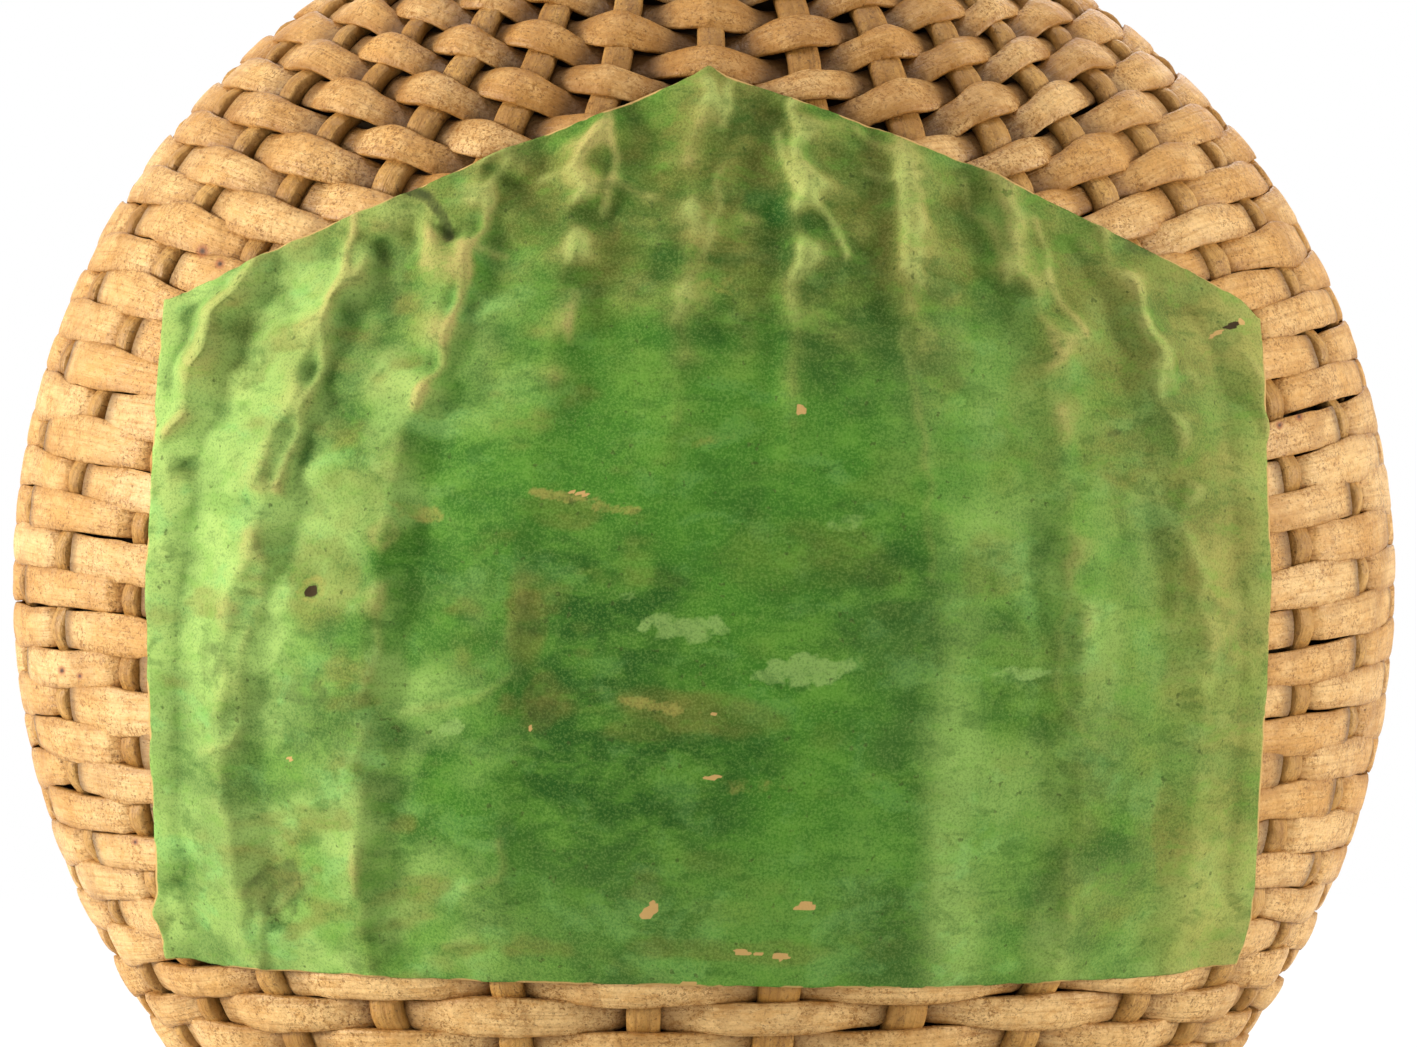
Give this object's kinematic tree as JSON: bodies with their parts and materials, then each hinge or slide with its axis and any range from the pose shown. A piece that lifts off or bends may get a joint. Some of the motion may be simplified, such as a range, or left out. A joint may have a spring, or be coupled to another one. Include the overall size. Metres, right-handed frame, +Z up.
{
  "type": "wicker wine bottle",
  "caption": "Flattened wine bottle of green glass in a close-woven willow cover, with a blank draped paper label on the front and a pull-out cork.",
  "frame": {"origin": "centre of the bottle's footprint, on the surface that it stands on", "axes": "+Z up along the neck, -Y out of the label's face, +X across the width"},
  "size_m": [0.1457, 0.0985, 0.1893],
  "materials": {
    "bottle_glass": "dark green, glossy",
    "cork": "natural cork, matt",
    "label_paper": "aged, mottled, matt",
    "strip_willow": "peeled split willow, satin, speckled",
    "stake_willow": "peeled willow rod, satin",
    "border_willow": "peeled willow, plaited, satin"
  },
  "bodies": {
    "bottle": {"glass_bottle": "bottle_glass", "paper_label": "label_paper", "foot_border": "border_willow", "base_rounds": "strip_willow", "base_sticks_long": "stake_willow", "base_sticks_short": "stake_willow", "collar_border": "border_willow", "neck_weaver_1": "strip_willow", "neck_weaver_2": "strip_willow", "stake_1": "stake_willow", "stake_2": "stake_willow", "stake_3": "stake_willow", "stake_4": "stake_willow", "stake_5": "stake_willow", "stake_6": "stake_willow", "stake_7": "stake_willow", "stake_8": "stake_willow", "stake_9": "stake_willow", "stake_10": "stake_willow", "stake_11": "stake_willow", "stake_12": "stake_willow", "stake_13": "stake_willow", "stake_14": "stake_willow", "stake_15": "stake_willow", "stake_16": "stake_willow", "stake_17": "stake_willow", "stake_18": "stake_willow", "stake_19": "stake_willow", "stake_20": "stake_willow", "stake_21": "stake_willow", "stake_22": "stake_willow", "stake_23": "stake_willow", "stake_24": "stake_willow", "stake_25": "stake_willow", "stake_26": "stake_willow", "stake_27": "stake_willow", "stake_28": "stake_willow", "stake_29": "stake_willow", "weaver_1": "strip_willow", "weaver_2": "strip_willow", "weaver_3": "strip_willow", "weaver_4": "strip_willow", "weaver_5": "strip_willow", "weaver_6": "strip_willow", "weaver_7": "strip_willow", "weaver_8": "strip_willow", "weaver_9": "strip_willow", "weaver_10": "strip_willow", "weaver_11": "strip_willow", "weaver_12": "strip_willow", "weaver_13": "strip_willow"},
    "cork": {"cork": "cork"}
  },
  "joints": [
    {"name": "cork_pull", "type": "slide", "parent": "bottle", "child": "cork", "axis": [0, 0, 1], "range_m": [0, 0.04]}
  ]
}
